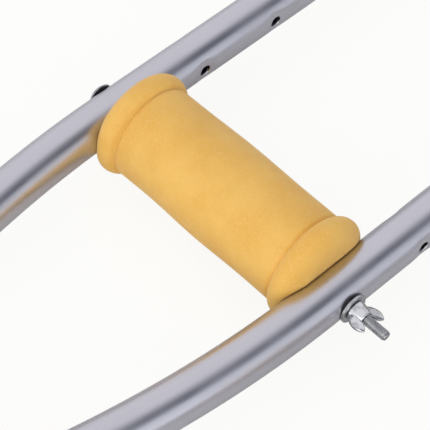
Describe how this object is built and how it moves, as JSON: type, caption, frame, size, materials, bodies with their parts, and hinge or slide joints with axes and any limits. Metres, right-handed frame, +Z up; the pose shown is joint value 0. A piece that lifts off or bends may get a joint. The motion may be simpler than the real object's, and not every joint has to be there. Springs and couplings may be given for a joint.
{
  "type": "pair of underarm crutches",
  "caption": "Pair of aluminium underarm crutches with foam hand grips, bent side tubes, telescoping legs and rubber tips, lying side by side.",
  "frame": {"origin": "on the floor, under the centre of the bounding box of the pair lying side by side", "axes": "+X along the crutches towards the armpit ends, +Y across to the left crutch, +Z up"},
  "size_m": [1.1242, 0.468, 0.0558],
  "materials": {
    "anodised_aluminium": "satin",
    "yellow_foam": "matte",
    "grey_plastic": "satin",
    "core_plastic": "matte",
    "zinc_steel": "bright zinc plated",
    "spring_steel": "satin",
    "aluminium_rivet": "satin",
    "tip_rubber": "matte"
  },
  "bodies": {
    "left_crutch": {"left_head_side_tube": "anodised_aluminium", "left_nut_side_tube": "anodised_aluminium", "left_side_tube_plugs": "grey_plastic", "left_underarm_support": "grey_plastic", "left_underarm_cushion": "yellow_foam", "left_underarm_rivets": "aluminium_rivet", "left_leg_sleeve": "anodised_aluminium", "left_sleeve_cap": "grey_plastic", "left_leg_collar": "grey_plastic", "left_leg_bolts": "zinc_steel", "left_leg_nuts": "zinc_steel"},
    "left_leg": {"left_leg_tube": "anodised_aluminium", "left_leg_glide": "grey_plastic", "left_button_spring": "spring_steel", "left_rubber_tip": "tip_rubber", "left_tip_washer": "zinc_steel"},
    "left_upper_button": {"left_upper_button": "zinc_steel"},
    "left_lower_button": {"left_lower_button": "zinc_steel"},
    "left_grip": {"left_grip_core": "core_plastic", "left_hand_grip": "yellow_foam", "left_grip_bolt": "zinc_steel"},
    "left_washer": {"left_grip_washer": "zinc_steel"},
    "left_nut": {"left_wing_nut": "zinc_steel"},
    "right_crutch": {"right_head_side_tube": "anodised_aluminium", "right_nut_side_tube": "anodised_aluminium", "right_side_tube_plugs": "grey_plastic", "right_underarm_support": "grey_plastic", "right_underarm_cushion": "yellow_foam", "right_underarm_rivets": "aluminium_rivet", "right_leg_sleeve": "anodised_aluminium", "right_sleeve_cap": "grey_plastic", "right_leg_collar": "grey_plastic", "right_leg_bolts": "zinc_steel", "right_leg_nuts": "zinc_steel"},
    "right_leg": {"right_leg_tube": "anodised_aluminium", "right_leg_glide": "grey_plastic", "right_button_spring": "spring_steel", "right_rubber_tip": "tip_rubber", "right_tip_washer": "zinc_steel"},
    "right_upper_button": {"right_upper_button": "zinc_steel"},
    "right_lower_button": {"right_lower_button": "zinc_steel"},
    "right_grip": {"right_grip_core": "core_plastic", "right_hand_grip": "yellow_foam", "right_grip_bolt": "zinc_steel"},
    "right_washer": {"right_grip_washer": "zinc_steel"},
    "right_nut": {"right_wing_nut": "zinc_steel"}
  },
  "joints": [
    {"name": "left_leg_height", "type": "slide", "parent": "left_crutch", "child": "left_leg", "axis": [-1, 0, 0], "range_m": [0, 0.1524]},
    {"name": "left_upper_button_press", "type": "slide", "parent": "left_leg", "child": "left_upper_button", "axis": [0, 0, -1], "range_m": [0, 0.0046], "stiffness_N_per_m": 1500, "springref_m": -0.002, "deforming": ["left_button_spring"]},
    {"name": "left_lower_button_press", "type": "slide", "parent": "left_leg", "child": "left_lower_button", "axis": [0, 0, 1], "range_m": [0, 0.0046], "stiffness_N_per_m": 1500, "springref_m": -0.002, "deforming": ["left_button_spring"]},
    {"name": "left_grip_height", "type": "slide", "parent": "left_crutch", "child": "left_grip", "axis": [1, 0, 0], "range_m": [0, 0.2856]},
    {"name": "left_washer_slide", "type": "slide", "parent": "left_grip", "child": "left_washer", "axis": [0, -1, 0], "range_m": [0, 0.0111]},
    {"name": "left_wing_nut_turn", "type": "hinge", "parent": "left_washer", "child": "left_nut", "pos_m": [0.12617, 0.0475, 0.027], "axis": [0, -1, 0], "range_deg": [0, 5130]},
    {"name": "right_leg_height", "type": "slide", "parent": "right_crutch", "child": "right_leg", "axis": [-1, 0, 0], "range_m": [0, 0.1524]},
    {"name": "right_upper_button_press", "type": "slide", "parent": "right_leg", "child": "right_upper_button", "axis": [0, 0, -1], "range_m": [0, 0.0046], "stiffness_N_per_m": 1500, "springref_m": -0.002, "deforming": ["right_button_spring"]},
    {"name": "right_lower_button_press", "type": "slide", "parent": "right_leg", "child": "right_lower_button", "axis": [0, 0, 1], "range_m": [0, 0.0046], "stiffness_N_per_m": 1500, "springref_m": -0.002, "deforming": ["right_button_spring"]},
    {"name": "right_grip_height", "type": "slide", "parent": "right_crutch", "child": "right_grip", "axis": [1, 0, 0], "range_m": [0, 0.2856]},
    {"name": "right_washer_slide", "type": "slide", "parent": "right_grip", "child": "right_washer", "axis": [0, -1, 0], "range_m": [0, 0.0111]},
    {"name": "right_wing_nut_turn", "type": "hinge", "parent": "right_washer", "child": "right_nut", "pos_m": [0.12617, -0.2125, 0.027], "axis": [0, -1, 0], "range_deg": [0, 5130]},
    {"name": "right_crutch_lift", "type": "slide", "parent": "left_crutch", "child": "right_crutch", "axis": [0, 0, 1], "range_m": [0, 0.3]}
  ],
  "couplings": [
    {"joint": "left_wing_nut_turn", "follows": "left_washer_slide", "rad_per_m": 7854},
    {"joint": "right_wing_nut_turn", "follows": "right_washer_slide", "rad_per_m": 7854}
  ]
}
